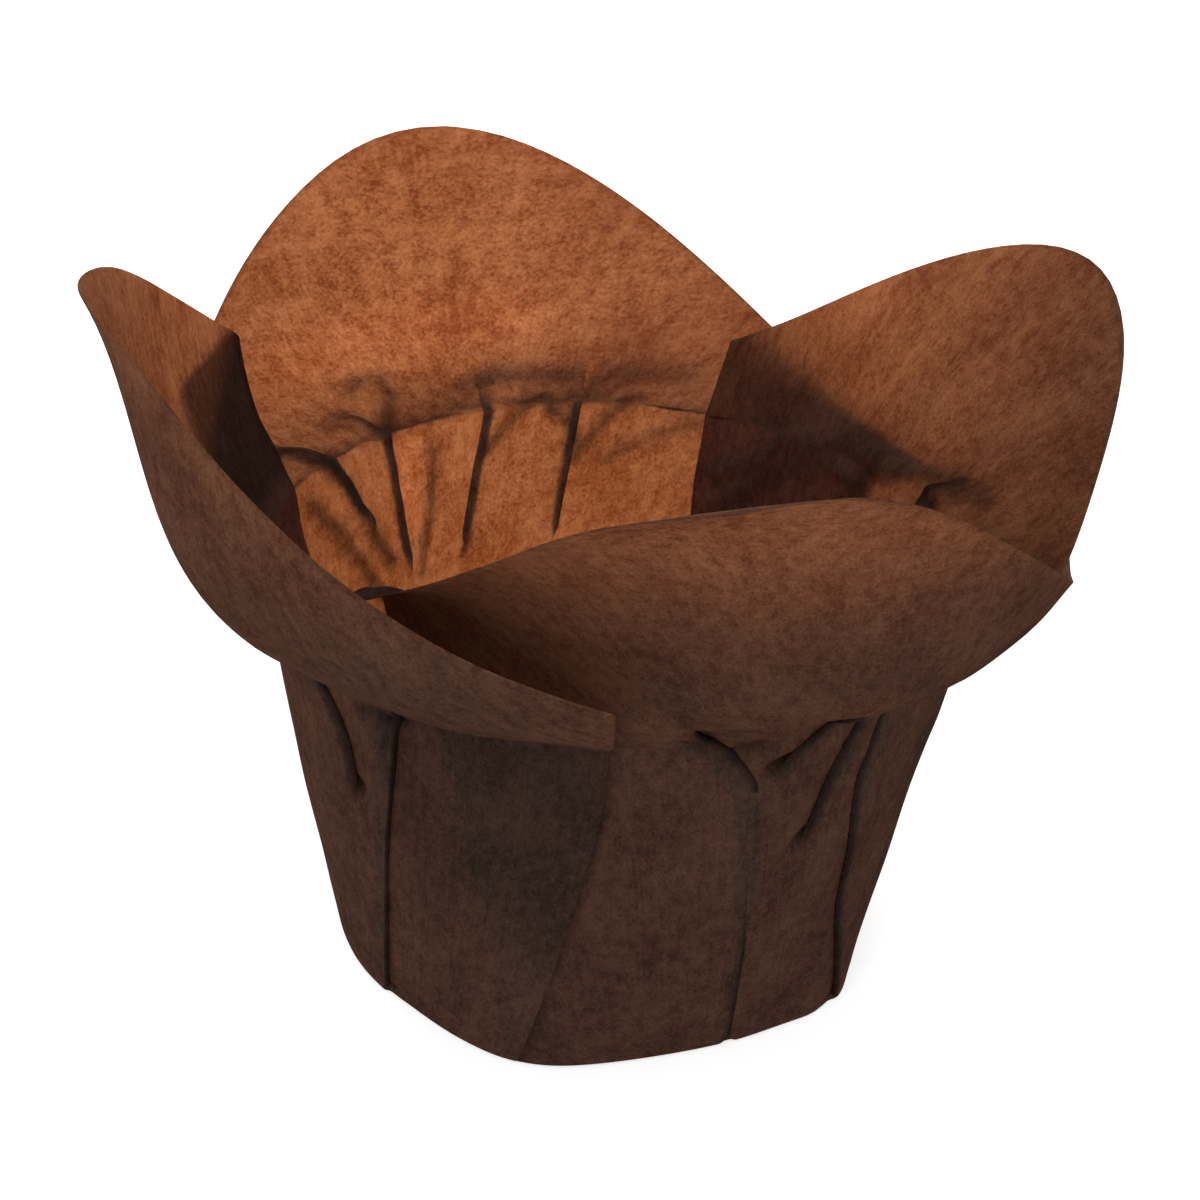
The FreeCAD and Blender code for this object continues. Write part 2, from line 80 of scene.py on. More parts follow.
# %% Values of the four petals
PETALS = {
    "front": dict(
        middle=-84.3, half_low=63.2, half_high=37.0, spread_low=-0.04, spread_high=0.54,
        cut_low=89.9, cut_high=75.8, corner=13.0,
        lean=46.7, lean_tilt=13.7, lean_bow=-24.4, lean_skew=8.2,
        curl=-3.49, curl_tilt=-0.92, curl_bow=3.36, curl_skew=-0.78,
        twist=-3.08, ledge=30.7, ledge_tilt=34.1, roll=9.0, roll_tilt=1.9, roll_bow=3.2,
        foot_low=-135.0, foot_high=-45.0, slit_bow=2.5),
    "right": dict(
        middle=4.9, half_low=56.5, half_high=40.6, spread_low=0.18, spread_high=-0.03,
        cut_low=75.2, cut_high=75.8, corner=5.6,
        lean=21.6, lean_tilt=-32.6, lean_bow=-8.8, lean_skew=4.5,
        curl=1.07, curl_tilt=0.71, curl_bow=-0.42, curl_skew=-0.94,
        twist=-3.03, ledge=14.9, ledge_tilt=-11.8, roll=-2.0, roll_tilt=2.7, roll_bow=-0.8,
        foot_low=-45.0, foot_high=45.0, slit_bow=0.0),
    "back": dict(
        middle=81.4, half_low=70.2, half_high=66.5, spread_low=0.32, spread_high=0.28,
        cut_low=69.0, cut_high=75.5, corner=11.2,
        lean=62.5, lean_tilt=30.7, lean_bow=-11.9, lean_skew=1.4,
        curl=-3.67, curl_tilt=-0.51, curl_bow=-2.0, curl_skew=1.07,
        twist=-1.39, ledge=25.5, ledge_tilt=-13.8, roll=8.8, roll_tilt=-4.2, roll_bow=-11.2,
        foot_low=45.0, foot_high=135.0, slit_bow=0.0),
    "left": dict(
        middle=166.1, half_low=35.9, half_high=74.4, spread_low=0.17, spread_high=0.02,
        cut_low=81.0, cut_high=96.5, corner=3.8,
        lean=90.6, lean_tilt=17.6, lean_bow=-8.7, lean_skew=-48.0,
        curl=-5.87, curl_tilt=1.09, curl_bow=4.22, curl_skew=2.87,
        twist=-1.42, ledge=-48.3, ledge_tilt=30.3, roll=11.3, roll_tilt=-7.8, roll_bow=-13.4,
        foot_low=135.0, foot_high=225.0, slit_bow=2.5),
}
ORDER = list(PETALS)
print("petals", ORDER)

# %% [markdown]
# First the rays. The spread turns a ray into an azimuth at the neck, and the reach is the length of
# paper above the neck on that ray. Cutting the square sheet gives the reach: it is where the ray
# meets the nearer of two straight sides. A power mean of both distances rounds the corner, as the
# die that cuts the sheet does.

# %% Rays of a petal
LEAST_COSINE = 0.02      # keeps a cut side that a ray never meets from dividing by zero
SHORTEST_PETAL = 2.5     # mm of paper that stay above the neck everywhere


def spread(p, u):
    """Azimuth at the neck, from the petal's middle: mean half width times u, plus half the
    difference of the half widths times u squared."""
    return (p["half_low"] + p["half_high"]) / 2 * u + (p["half_high"] - p["half_low"]) / 2 * u * u


def ray(p, azimuth):
    """The ray that reaches the neck at an azimuth: the root of the quadratic in spread."""
    mean = (p["half_low"] + p["half_high"]) / 2
    bend = (p["half_high"] - p["half_low"]) / 2
    under_root = np.maximum(mean ** 2 + 4 * bend * (azimuth - p["middle"]), 0)
    return (-mean + np.sqrt(under_root)) / (2 * bend)


def reach(p, u):
    """Length above the neck: the power mean of the distances to the two cut sides, each its
    distance from the middle over the cosine to it, less the flat radius of the neck."""
    angle = np.radians(45 * u)
    to_low = np.maximum(np.cos(np.pi / 4 + angle), LEAST_COSINE) / p["cut_low"]
    to_high = np.maximum(np.cos(np.pi / 4 - angle), LEAST_COSINE) / p["cut_high"]
    edge = (to_low ** p["corner"] + to_high ** p["corner"]) ** (-1 / p["corner"])
    return np.maximum(edge - FLAT_NECK, SHORTEST_PETAL)


print("longest petals, mm", {name: round(float(reach(PETALS[name], 0.0)), 1) for name in ORDER})

# %% [markdown]
# Now a petal's surface. Paper bends but doesn't stretch, so the petal is walked up from the neck in
# short steps of equal length, each with its own lean from the vertical. A Bezier patch would be
# quicker to draw, but its lengths would stretch the fibres.

# %% Surface of a petal
STEPS = 12               # steps from the neck to a point
LEDGE_FADE = 5.0         # mm above the neck over which the ledge dies out
RAY_STEP = 0.004         # difference in u for slopes across the petal
UP_STEP = 0.05           # difference in mm for slopes along it


def term(p, name, u):
    """A petal's term on ray u: its level, plus tilt times u, bow times u squared and skew times
    u cubed."""
    value = p[name] + p[name + "_tilt"] * u
    value = value + p.get(name + "_bow", 0.0) * u ** 2
    return value + p.get(name + "_skew", 0.0) * u ** 3


def petal_point(p, u, up):
    """Point at a length up above the neck: the sum of short steps whose lean is lean plus curl
    times length, plus the ledge times e to the minus length over its fade, plus the roll times
    the square of the length in cm."""
    radius = np.full(np.shape(up), NECK_RADIUS)
    height = np.full(np.shape(up), NECK_HEIGHT)
    start, rate, ledge, roll = [term(p, name, u) for name in ("lean", "curl", "ledge", "roll")]
    for step in range(STEPS):
        at = up * (step + 0.5) / STEPS
        lean = np.radians(start + rate * at + ledge * np.exp(-at / LEDGE_FADE) + roll * (at / 10) ** 2)
        radius = radius + np.sin(lean) * up / STEPS
        height = height + np.cos(lean) * up / STEPS
    fan = (p["spread_low"] + p["spread_high"]) / 2 + (p["spread_high"] - p["spread_low"]) / 2 * u
    angle = np.radians(p["middle"] + spread(p, u) * (1 + fan * up / 10) + p["twist"] * up / 10)
    return np.stack([radius * np.cos(angle), radius * np.sin(angle), height], -1)


def petal_frame(p, u, share):
    """Point, outward normal and mm per unit of u, at a share of the ray's length: the normal is
    the cross product of two small differences."""
    up = reach(p, u) * share
    here = petal_point(p, u, up)
    wide = petal_point(p, u + RAY_STEP, up) - petal_point(p, u - RAY_STEP, up)
    tall = petal_point(p, u, up + UP_STEP) - petal_point(p, u, np.maximum(up - UP_STEP, 0))
    normal = np.cross(wide, tall)
    normal = normal / np.linalg.norm(normal, axis=-1, keepdims=True)
    return here, normal, np.linalg.norm(wide, axis=-1) / (2 * RAY_STEP)


for name in ORDER:
    tip = petal_point(PETALS[name], 0.0, reach(PETALS[name], 0.0))
    print(name, "petal's corner at", np.round(tip, 1), "mm")

# %% [markdown]
# The wall is a cone, because a mould has straight sides. It meets the base in a small bend: paper
# of this weight can't take a sharper one without breaking.

# %% Surface of the wall
BASE_BEND = 0.9          # mm, radius of the bend between base and wall


def wall_point(azimuth, rise):
    """Point and outward normal at a share of the wall's height: on the cone, or on the bend's
    arc while the length from the base is under radius times the tangent of half the turn."""
    turn = math.pi / 2 - WALL_LEAN
    cut = BASE_BEND * math.tan(turn / 2)
    length = rise * WALL_LENGTH
    bend = np.clip(length / cut, 0, 1) * turn
    on_bend = length < cut
    radius = np.where(on_bend, BASE_RADIUS - cut + BASE_BEND * np.sin(bend), BASE_RADIUS + FLARE * rise)
    height = np.where(on_bend, BASE_BEND * (1 - np.cos(bend)), NECK_HEIGHT * rise)
    lean = np.where(on_bend, math.pi / 2 - bend, WALL_LEAN)
    angle = np.radians(azimuth)
    point = np.stack([radius * np.cos(angle), radius * np.sin(angle), height], -1)
    normal = np.stack([np.cos(lean) * np.cos(angle), np.cos(lean) * np.sin(angle), -np.sin(lean)], -1)
    return point, normal


print("wall's top radius", round(float(wall_point(0.0, 1.0)[0][0]), 2), "mm")

# %% [markdown]
# At each slit two panels overlap, one outside the other, by more and more towards the neck. In the
# photograph the right panel lies innermost and the back one outermost. Where two layers meet, one
# steps out and the other in by half a layer, over a soft ramp, so that they never touch: two
# surfaces in one place would flicker in the render.

# %% Slits and overlaps
SLIT_NOTCH = 0.01        # mm, half width of a slit at its foot
SLIT_COVER = 0.35        # mm that each panel runs past the slit's line just above the foot
COVER_FADE = 0.2         # share of the height, below the neck, over which that ends
FOOT_TURN = 1.6          # mm above the base over which layers part
STEP_START = 8           # degrees before the neighbour's edge where the layer's step begins
STEP_RAMP = 6            # degrees that the step takes
# Which sheet lies outside at each slit: 1 outside, -1 inside, low side then high side.
LAYING = {"front": (-1, 1), "right": (-1, -1), "back": (1, 1), "left": (-1, 1)}


def smooth(x):
    """Rises from 0 to 1 with level ends: 3 x squared minus 2 x cubed, x held between 0 and 1."""
    x = np.clip(x, 0.0, 1.0)
    return x * x * (3 - 2 * x)


def slit_edge(name, rise, side):
    """Azimuth of a panel's edge at a share of the height: a line from foot to neck, plus a bow
    of four times rise times one minus rise, plus the cover just above the foot."""
    p = PETALS[name]
    notch = math.degrees(SLIT_NOTCH / BASE_RADIUS)
    foot = p["foot_low"] + notch if side < 0 else p["foot_high"] - notch
    bow = p["slit_bow"] * 4 * rise * (1 - rise) if side > 0 else 0.0
    cover = side * math.degrees(SLIT_COVER / BASE_RADIUS)
    cover = cover * smooth(rise * WALL_LENGTH) * smooth((1 - rise) / COVER_FADE)
    return foot + (p["middle"] + spread(p, side) - foot) * rise + bow + cover


def neighbours(name, rise):
    """For both sides of a panel: the side, its own edge, the neighbour's edge on the same turn
    of the circle, and whether this panel lies outside there."""
    place = ORDER.index(name)
    for side, lay in zip((-1, 1), LAYING[name]):
        own = slit_edge(name, rise, side)
        other = slit_edge(ORDER[(place + side) % len(ORDER)], rise, -side)
        yield side, own, other - 360 * np.round((other - own) / 360), lay


def seam_offset(name, azimuth, rise):
    """Half a layer step out or in where a panel overlaps its neighbour."""
    shift = np.zeros(np.shape(azimuth))
    for side, _, other, lay in neighbours(name, rise):
        over = smooth(((azimuth - other) * side + STEP_START) / STEP_RAMP)
        shift = shift + lay * over * LAYER_STEP / 2
    return shift * smooth(rise * WALL_LENGTH / FOOT_TURN)


for name in ORDER:
    for side, own, other, lay in neighbours(name, 1.0):
        print(name, "side", side, "overlaps", round(float((own - other) * side), 1), "degrees at the neck")

# %% [markdown]
# Knife pleats take up the width that the wall can't use. Each is a Z of three layers: the sheet
# turns under itself, runs back and turns forward again. Some run down to the base, and some open
# out on the wall. Most swing aside just below the neck, where the plunger's edge caught them. Each
# pleat is drawn as its true section and not as a groove, so its edge casts a real shadow and its
# three layers can stop light.
#
# - start, slant, hook: azimuth of the foot, drift up to the neck, and swing just below the neck.
# - foot: share of the height where the fold ends; rest: where its trace meets the base below that.
# - depth: mm of paper hidden at the neck; side 1: the sheet at the lower azimuth lies on top.

# %% Pleats
PLEATS = {
    "front": [
        dict(start=-89.5, slant=-6.9, hook=-9.1, foot=0, depth=3.0, side=1),
        dict(start=-95.5, slant=0.0, hook=15.0, foot=0.84, depth=2.2, side=-1, rest=-84.0),
        dict(start=-83.2, slant=7.6, hook=2.0, foot=0.58, depth=2.2, side=-1, rest=-74.0),
        dict(start=-60.0, slant=-14.0, hook=8.0, foot=0, depth=2.8, side=-1),
    ],
    "right": [
        dict(start=-20.0, slant=-4.0, hook=-2.0, foot=0, depth=3.0, side=1),
        dict(start=-7.0, slant=2.0, hook=1.0, foot=0, depth=3.0, side=-1),
    ],
    "back": [
        dict(start=72.8, slant=-4.8, hook=0.0, foot=0.6, depth=0.7, side=1, rest=74.0),
        dict(start=90.9, slant=-7.2, hook=0.0, foot=0.6, depth=0.7, side=-1, rest=88.0),
        dict(start=102.0, slant=2.0, hook=0.0, foot=0.6, depth=0.7, side=1, rest=101.0),
        dict(start=108.6, slant=10.8, hook=-2.0, foot=0.76, depth=1.2, side=1, rest=113.0),
    ],
    "left": [
        dict(start=160.4, slant=1.6, hook=0.0, foot=0.6, depth=2.8, side=-1, rest=158.0),
        dict(start=191.5, slant=0.0, hook=-14.0, foot=0.6, depth=2.2, side=1, rest=177.0),
        dict(start=189.0, slant=14.5, hook=0.0, foot=0, depth=2.8, side=1),
    ],
}
HOOK_POWER = 10          # how late the swing comes
TURN_STEPS = 4           # columns round each half circle of a fold
BACK_STEPS = 3           # columns along the layer that runs back


def pleat_line(pleat, rise):
    """Azimuth of a pleat: its start, plus the slant in proportion to the height, plus the hook
    times a high power of the height. Below a short pleat, a straight line down to its rest."""
    foot = pleat["foot"]
    line = pleat["start"] + pleat["slant"] * (rise - foot) / (1 - foot) + pleat["hook"] * rise ** HOOK_POWER
    if foot == 0:
        return line
    there = pleat["start"] + pleat["hook"] * foot ** HOOK_POWER
    return np.where(rise < foot, pleat["rest"] + (there - pleat["rest"]) * rise / foot, line)


def fold_path(depth, closed, side):
    """Section of a pleat at each level, along the sheet and out of it: a half circle one layer
    step across, a run back of the depth, and a half circle forward. Closed scales the turning,
    so that 0 lays the same paper flat."""
    bend = math.pi * LAYER_STEP / 2 / TURN_STEPS
    half = [(k + 0.5) / TURN_STEPS for k in range(TURN_STEPS)]
    turns = half + [1.0] * BACK_STEPS + half[::-1]
    lengths = [bend] * TURN_STEPS + [depth / BACK_STEPS] * BACK_STEPS + [bend] * TURN_STEPS
    along, out = [0 * depth], [0 * depth]
    for turn, length in zip(turns, lengths):
        angle = np.radians(-180 * turn * closed)
        along.append(along[-1] + length * np.cos(angle))
        out.append(out[-1] + length * np.sin(angle))
    along, out = np.stack(along, -1), np.stack(out, -1)
    along = along - along[..., -1:] / 2
    if side < 0:
        return -along[..., ::-1], out[..., ::-1]
    return along, out


print("pleats", {name: len(PLEATS[name]) for name in ORDER})

# %% [markdown]
# Paper that has been pressed is never smooth. Three sizes of wave give it life: long ones on the
# petals, short ones near the neck where the pleats pull, and shallow ones on the wall. They are sums
# of sine waves through space, and not noise along each sheet, so layers that lie together move
# together and don't cut through each other.

# %% Waves in the paper
PETAL_WAVE = dict(seed=3, size=26, height=0.45)    # size and height in mm
NECK_WAVE = dict(seed=5, size=7, height=0.22)
WALL_WAVE = dict(seed=7, size=12, height=0.16)
PETAL_RISE = 12          # mm above the neck over which the petals' waves grow
NECK_FADE = 9            # mm from the neck over which the neck's waves die out
WALL_FADE = 6            # mm over which the wall's waves end at the neck and at the base


def waves(points, seed, size, height, count=12):
    """Soft irregular relief up to about the height: a sum of sine waves, each with its own
    direction, phase, and pitch near the size, over the square root of their number."""
    rng = np.random.default_rng(seed)
    total = 0
    for _ in range(count):
        way = rng.normal(size=3)
        way = way / np.linalg.norm(way)
        pitch, phase = size * rng.uniform(0.7, 1.6), rng.uniform(0, 2 * np.pi)
        total = total + np.sin(2 * np.pi / pitch * (points @ way) + phase)
    return height * total / math.sqrt(count / 2) / 2


def all_waves(up, points):
    """The three waves, each kept to its own part of the cup, up being mm above the neck."""
    out = waves(points, **PETAL_WAVE) * smooth(up / PETAL_RISE)
    out = out + waves(points, **NECK_WAVE) * np.exp(-(up / NECK_FADE) ** 2)
    ends = smooth(-up / WALL_FADE) * smooth((up + WALL_LENGTH) / WALL_FADE)
    return out + waves(points, **WALL_WAVE) * ends


print("a wave at the origin, mm", round(float(waves(np.zeros(3), **PETAL_WAVE)), 3))

# %% [markdown]
# Creases branch off the pleats, most of them inside the cup behind the neck, where the photograph
# shows them as dark curves in the glowing paper. A sculpting brush could draw them. Here each is a
# short line of points, a width, a depth and a painted shade, so that they can be moved one by one.

# %% Creases
# Points as azimuth at the neck and mm above it along the paper; then half width, depth into the
# paper from outside, both in mm, and the painted shade in the crease, negative for painted light.
CREASES = {
    "front": [
        ([(-108, 1.5), (-102.7, -0.4), (-100.1, -1.9), (-97.9, -1.1), (-94.7, -0.9)], 0.8, 0.7, 0.35),
        ([(-115.8, -2.6), (-114.1, -6.3), (-112.1, -9.5)], 0.9, 0.2, 0.12),
        ([(-100.1, -1.9), (-99.0, -4.8)], 0.6, 0.5, 0.3),
    ],
    "right": [
        ([(41.8, -5.6), (34.8, -3.4), (27.8, -0.4), (18.4, 1.5), (7.5, 0.8)], 1.2, 0.9, 0.2),
        ([(41.9, -9.3), (32.3, -4.8), (23.2, -1.1), (14.1, -1.9)], 1.0, 0.8, 0.25),
        ([(5.7, 1.4), (-1.9, 3.0), (-12.0, 4.6)], 1.2, 0.5, 0.3),
    ],
    "back": [
        ([(100.9, 6.4), (99.0, 7.1), (96.2, 6.5), (96.3, 4.6), (99.0, 2.5), (103.5, -0.4)],
         0.7, 0.3, 0.45),
        ([(94.6, -3.0), (95.0, -5.5), (96.0, -8.5), (98.0, -12.5), (99.0, -15.0)], 0.6, 0.2, 0.4),
        ([(85.0, -4.2), (80.7, -1.9), (76.9, 0.2), (73.6, 1.2)], 0.6, 0.25, 0.45),
        ([(84.1, 4.6), (80.5, 5.5), (75.8, 4.9), (72.6, 4.0)], 1.2, -0.3, 0.28),
        ([(68.1, -5.6), (65.4, -3.4), (62.1, -1.1), (58.5, 0.7)], 0.6, 0.25, 0.4),
        ([(72.3, -0.6), (70.2, -1.2), (68.8, -2.4), (68.4, -4.0)], 0.6, 0.25, 0.45),
        ([(72.2, 0.4), (68.1, 1.8), (64.7, 4.8), (59.7, 4.7), (54.7, 4.6)], 1.3, -0.3, 0.22),
        ([(62.7, -5.6), (57.4, -4.1), (52.4, -2.6), (46.4, -1.1)], 0.9, 0.3, 0.22),
        ([(127.0, 6.0), (119.5, 3.5), (118.9, -0.4), (114.6, -3.4), (112.1, -7.1), (106.1, -13.0)],
         0.9, 0.4, 0.5),
        ([(125.4, -2.6), (119.8, -7.1), (113.8, -11.5), (109.0, -17.0)], 0.9, 0.4, 0.45),
        # Painted light: these two make the paper lighter, the last one with no depth at all.
        ([(99.5, -2.0), (100.5, -9.0)], 1.6, -0.2, -0.22),
        ([(104.0, 11.0), (92.0, 10.0), (80.0, 9.5)], 4.5, 0.0, -0.2),
    ],
    "left": [
        ([(195.0, -3.4), (199.8, -2.8), (202.9, -2.8), (206.0, -2.0)], 0.8, 0.6, 0.35),
        ([(202.5, -2.8), (201.6, -5.5)], 0.6, 0.5, 0.3),
    ],
}


def near_line(azimuth, up, line, width):
    """Bell round a crease: e to the minus squared distance to the nearest of its straight
    pieces, over the squared width."""
    x, y = np.radians(azimuth) * NECK_RADIUS, up
    nearest = np.full(np.shape(azimuth), np.inf)
    ends = [(math.radians(a) * NECK_RADIUS, h) for a, h in line]
    for (x0, y0), (x1, y1) in zip(ends[:-1], ends[1:]):
        along = ((x - x0) * (x1 - x0) + (y - y0) * (y1 - y0)) / ((x1 - x0) ** 2 + (y1 - y0) ** 2)
        along = np.clip(along, 0, 1)
        away = (x - x0 - along * (x1 - x0)) ** 2 + (y - y0 - along * (y1 - y0)) ** 2
        nearest = np.minimum(nearest, away)
    return np.exp(-nearest / width ** 2)


print("creases", {name: len(CREASES[name]) for name in ORDER})

# %% [markdown]
# Two more things come from the layers. A slit's free edge lifts a little off the sheet beside it,
# and the corner there gets a painted shadow. And where a second layer backs the first, light is
# stopped: a painted shade in listed zones stands in for it, so that the sheet looks nearly black against
# the sky and darker outside. The relief function adds it all up, as mm out of the paper and as a
# painted shade that the material reads from the mesh.

# %% Lifted edges, painted shade and the whole relief
EDGE_LIFT = 0.35         # mm that a slit's free edge stands off the layer beside it
EDGE_WIDTH = 3           # mm that the lift takes
LIFT_START = 0.35        # share of the height where the lift begins
LIFT_RAMP = 0.5          # share of the height over which it grows
EDGE_SHADE = 0.4         # painted shadow in the corner beside an edge
CORNER_WIDTH = 0.8       # mm, width of that painted shadow
CORNER_FADE = 3          # mm above the neck over which it ends
TOP_FADE = 0.8           # mm below the top of a zone of painted shade over which it ends
# Zones of painted shade where a layer backs the paper: azimuths and their ramp in degrees, mm above
# the neck, the mm over which the zone fades in from the bottom, and how much darker it is painted.
PAINTED_BACKING_ZONES = {
    "front": [dict(start=-190, end=-106, ramp=34, bottom=0, top=60, fade=3, shade=0.36)],
    "right": [],
    "back": [],
    "left": [
        dict(start=120, end=152, ramp=4, bottom=0, top=16.6, fade=3, shade=0.52),
        dict(start=197, end=250, ramp=6, bottom=-32, top=1.5, fade=14, shade=0.24),
    ],
}


def painted_backing_shade(azimuth, up, start, end, ramp, bottom, top, fade, shade):
    """Painted shade of one zone: the product of soft ramps at its four sides."""
    side = smooth((azimuth - start) / ramp) * smooth((end - azimuth) / ramp)
    return shade * side * smooth((top - up) / TOP_FADE) * smooth((up - bottom) / fade)


def relief(name, azimuth, up, points):
    """How far the paper stands out from its smooth form, and its painted shade and light."""
    out = all_waves(up, points)
    dark = np.zeros(np.shape(out))
    rise = np.clip(1 + up / WALL_LENGTH, 0, 1)
    for _, own, other, lay in neighbours(name, rise):
        away = np.radians(azimuth - own) * NECK_RADIUS
        lift = EDGE_LIFT * np.exp(-(away / EDGE_WIDTH) ** 2) * smooth((rise - LIFT_START) / LIFT_RAMP)
        out = out + lay * lift
        # painted shadow on this panel beside the neighbour's edge
        if lay < 0:
            away = np.radians(azimuth - other) * NECK_RADIUS
            dark = dark + EDGE_SHADE * np.exp(-(away / CORNER_WIDTH) ** 2) * smooth(1 - up / CORNER_FADE)
    # painted shade of the creases, lighter where negative
    for line, width, depth, shade in CREASES[name]:
        bell = near_line(azimuth, up, line, width)
        out = out - depth * bell
        dark = dark + shade * bell
    # painted shade where a layer would back the paper
    for zone in PAINTED_BACKING_ZONES[name]:
        dark = dark + painted_backing_shade(azimuth, up, **zone)
    return out, dark


# Number of zones of painted shade on each panel.
print("backed zones", {name: len(PAINTED_BACKING_ZONES[name]) for name in ORDER})

# %% [markdown]
# The cup in the photograph isn't quite round at its foot: the paper has sprung out into soft corners
# between the pleats. Each corner is a bell in azimuth that fades up the wall.

# %% Soft corners of the base
# Azimuth in degrees, half width in degrees, and mm outward, or inward if negative.
BASE_CORNERS = [(-133, 17, 2.1), (-61, 11, 1.5), (-97, 14, -0.3), (-32, 14, -0.5),
                (165, 16, -0.35), (60, 18, 0.6)]
SWELL_HEIGHT = 14        # mm above the base where the wall is round again


def base_swell(points):
    """Points moved out by the sum of the corners' bells, each e to the minus squared angle over
    squared width, times a ramp that ends up the wall and one that starts from the middle."""
    angle = np.degrees(np.arctan2(points[..., 1], points[..., 0]))
    shift = 0
    for azimuth, width, amount in BASE_CORNERS:
        away = (angle - azimuth + 180) % 360 - 180
        shift = shift + amount * np.exp(-(away / width) ** 2)
    shift = shift * (1 - smooth(points[..., 2] / SWELL_HEIGHT))
    radius = np.linalg.norm(points[..., :2], axis=-1)
    factor = 1 + shift / BASE_RADIUS * smooth(radius / BASE_RADIUS) ** 2
    return points * np.stack([factor, factor, np.ones_like(factor)], -1)


print("corners of the base", len(BASE_CORNERS))

# %% [markdown]
# A panel's grid has levels, which run up the wall and on up the petal, and columns, which run across
# it. Smooth stretches have a column every 0.9 mm, and each pleat has twelve columns of its own that
# follow its section. Levels lie closer near the base's bend and near the neck, where most happens.

# %% Columns of a pleat
LEVELS_WALL = np.concatenate([
    np.linspace(0, 0.05, 7)[:-1], np.linspace(0.05, 0.68, 22)[:-1], np.linspace(0.68, 1, 27)])
LEVELS_PETAL = np.concatenate([np.linspace(0, 0.25, 20)[1:], np.linspace(0.25, 1, 24)[1:]])
FADE_TURN = 4.0          # mm of wall over which a short pleat opens out
FLARE_TURN = 6.0         # mm of petal over which a pleat opens out
DEPTH_TURN = FLARE_TURN / 1.6    # mm of petal over which it gets shallow
FOLD_END = 0.5           # mm, depth of a pleat where it opens out


def lay_offset(name, across, level, on_petal):
    """The seam's offset at the columns across, which are rays on a petal and azimuths on the
    wall."""
    level = level if np.ndim(across) == 1 else level[:, None]
    if on_petal:
        p = PETALS[name]
        return seam_offset(name, p["middle"] + spread(p, across), np.ones_like(level))
    return seam_offset(name, across, level)


def pleat_columns(name, pleat, level, on_petal):
    """Cross coordinate, offset and closedness of a pleat's columns at each level: its section,
    in mm, turned into degrees or rays by the scale at that level."""
    p = PETALS[name]
    if on_petal:
        at = ray(p, float(pleat_line(pleat, 1.0))) * np.ones_like(level)
        up = reach(p, at) * level
        scale = 1 / petal_frame(p, at, level)[2]
        share = 1 - smooth(up / DEPTH_TURN)
        closed = 1 - smooth(up / FLARE_TURN)
    else:
        at = pleat_line(pleat, level)
        scale = np.degrees(1 / (BASE_RADIUS + FLARE * level))
        share = np.maximum((level - pleat["foot"]) / (1 - pleat["foot"]), 0)
        turn = FOOT_TURN if pleat["foot"] == 0 else FADE_TURN
        closed = smooth((level - pleat["foot"]) * WALL_LENGTH / turn)
    depth = FOLD_END + (pleat["depth"] - FOLD_END) * share
    along, out = fold_path(depth, closed, pleat["side"])
    out = out + lay_offset(name, at, level, on_petal)[:, None]
    return at[:, None] + along * scale[:, None], out, closed[:, None] + 0 * out


print("levels", len(LEVELS_WALL), "on the wall and", len(LEVELS_PETAL), "on a petal")

# %% [markdown]
# Between two pleats the sheet runs from the end of one section to the start of the next. Those ends
# don't lie at the same height, so the stretch starts at the one and eases to its own lay. The front
# petal's low edge also runs on a little under its neighbour, so no gap shows between their rims.

# %% Columns of a panel
COLUMN = 0.9             # mm between columns of a stretch
EASE = 0.6               # share of a stretch over which it leaves a fold's end
TUCK = {"front": 0.17}   # how far a petal's low edge runs on, as a share of the ray
TUCK_RISE = 9            # mm of petal over which that grows


def panel_edges(name, level, on_petal):
    """Cross coordinates of a panel's two edges at each level."""
    if not on_petal:
        return slit_edge(name, level, -1), slit_edge(name, level, 1)
    ones = np.ones_like(level)
    tuck = TUCK.get(name, 0.0) * smooth(reach(PETALS[name], -ones) * level / TUCK_RISE)
    return -1 - tuck, ones


def panel_layout(name, level, on_petal):
    """Cross coordinate, offset and closedness of every column of a panel: stretches and pleats
    in turn. A stretch adds what its ends stand off, times a ramp down to nothing."""
    pleats = sorted(PLEATS[name], key=lambda pleat: pleat_line(pleat, 1.0))
    folds = [pleat_columns(name, pleat, level, on_petal) for pleat in pleats]
    marks = [slit_edge(name, 1.0, -1)] + [float(pleat_line(pleat, 1.0)) for pleat in pleats]
    marks = marks + [slit_edge(name, 1.0, 1)]
    start, last = panel_edges(name, level, on_petal)
    start_out, columns = None, []
    for number, fold in enumerate(folds + [None]):
        end, end_out = (last, None) if fold is None else (fold[0][:, 0], fold[1][:, 0])
        width = math.radians(marks[number + 1] - marks[number]) * NECK_RADIUS
        part = np.linspace(0, 1, max(4, int(round(width / COLUMN))) + 1)
        part = part[(0 if start_out is None else 1):(None if fold is None else -1)]
        across = start[:, None] + (end - start)[:, None] * part
        out = lay_offset(name, across, level, on_petal)
        if start_out is not None:
            stand = start_out - lay_offset(name, start, level, on_petal)
            out = out + stand[:, None] * (1 - smooth(part / EASE))
        if end_out is not None:
            stand = end_out - lay_offset(name, end, level, on_petal)
            out = out + stand[:, None] * (1 - smooth((1 - part) / EASE))
        columns.append((across, out, 0 * across))
        if fold is not None:
            columns.append(fold)
            start, start_out = fold[0][:, -1], fold[1][:, -1]
    return [np.concatenate(kind, 1) for kind in zip(*columns)]


print("columns of the front panel", panel_layout("front", LEVELS_WALL, False)[0].shape[1])

# %% [markdown]
# Each grid point also keeps its place on the flat sheet. The fibres of real paper were laid before
# it was folded, so the texture has to follow the flat sheet and not the cup.

# %% Build the panels
FOLD_SHADE = {"front": 0.7, "right": 0.5, "back": 0.0, "left": 0.7}   # painted shade along and inside a pleat, over the real shadow of its edge
